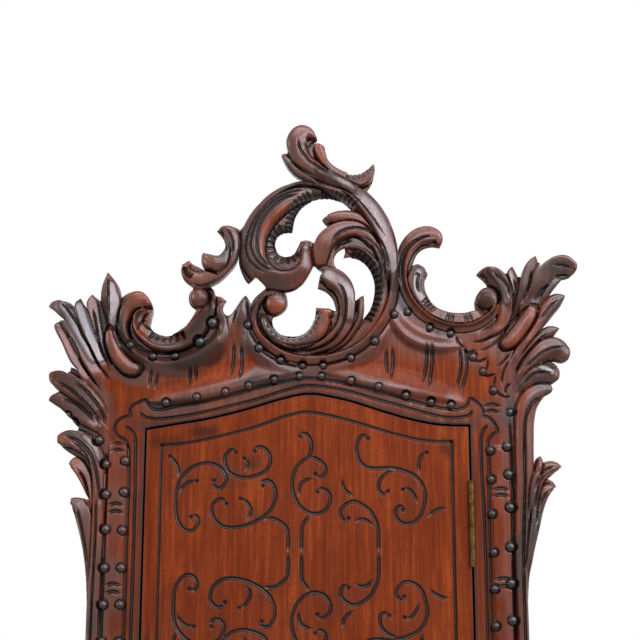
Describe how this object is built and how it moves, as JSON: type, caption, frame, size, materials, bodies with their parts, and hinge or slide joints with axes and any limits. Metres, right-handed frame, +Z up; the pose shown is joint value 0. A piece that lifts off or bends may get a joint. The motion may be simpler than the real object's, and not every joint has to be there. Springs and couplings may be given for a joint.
{
  "type": "wall cabinet",
  "caption": "Shallow hanging cupboard with one hinged door, shelves, a lock and an openwork carved crest, stiles and apron.",
  "frame": {"origin": "midway between the two wall-screw holes, on the wall plane", "axes": "+X to the viewer's right, +Y into the wall, +Z up; the door faces -Y"},
  "size_m": [0.5092, 0.185, 0.899],
  "materials": {
    "carved_mahogany": "waxed red-brown mahogany, dark in the recesses, satin",
    "carcass_wood": "planed, thinly stained, matt",
    "aged_brass": "aged, half bright",
    "dark_steel": "dark, worn"
  },
  "bodies": {
    "cabinet": {"crest_rail": "carved_mahogany", "left_stile": "carved_mahogany", "right_stile": "carved_mahogany", "apron_rail": "carved_mahogany", "frame_dowels": "carcass_wood", "glue_blocks": "carcass_wood", "side_panel_left": "carcass_wood", "side_panel_right": "carcass_wood", "top_board": "carcass_wood", "bottom_board": "carcass_wood", "back_panel": "carcass_wood", "back_panel_pins": "dark_steel", "hanging_rail": "carcass_wood", "hanger_plate_left": "dark_steel", "hanger_plate_right": "dark_steel", "hanger_plate_screws": "dark_steel", "shelf_upper": "carcass_wood", "shelf_lower": "carcass_wood", "shelf_pins": "aged_brass", "door_stop": "carcass_wood", "strike_plate": "aged_brass", "strike_screws": "aged_brass", "hinge_frame_leaf_upper": "aged_brass", "hinge_frame_leaf_lower": "aged_brass", "hinge_frame_screws": "aged_brass", "hinge_pin_upper": "aged_brass", "hinge_pin_lower": "aged_brass"},
    "door": {"hinge_door_leaf_upper": "aged_brass", "hinge_door_leaf_lower": "aged_brass", "hinge_door_screws": "aged_brass", "door_panel": "carved_mahogany", "door_batten_upper": "carcass_wood", "door_batten_lower": "carcass_wood", "door_batten_screws": "dark_steel", "escutcheon": "aged_brass", "escutcheon_pins": "aged_brass", "lock_case": "dark_steel", "lock_cover": "aged_brass", "lock_screws": "dark_steel"},
    "bolt": {"lock_bolt": "aged_brass"},
    "door_key": {"key": "dark_steel"}
  },
  "joints": [
    {"name": "door_swing", "type": "hinge", "parent": "cabinet", "child": "door", "pos_m": [0.153, -0.152, -0.3], "axis": [0, 0, 1], "range_deg": [0, 150]},
    {"name": "key_turn", "type": "hinge", "parent": "door", "child": "door_key", "pos_m": [-0.125, -0.15, -0.3], "axis": [0, -1, 0], "range_deg": [0, 180]},
    {"name": "bolt_slide", "type": "slide", "parent": "door", "child": "bolt", "axis": [-1, 0, 0], "range_m": [0, 0.006]}
  ],
  "couplings": [
    {"joint": "bolt_slide", "follows": "key_turn", "m_per_rad": 0.0019099}
  ]
}
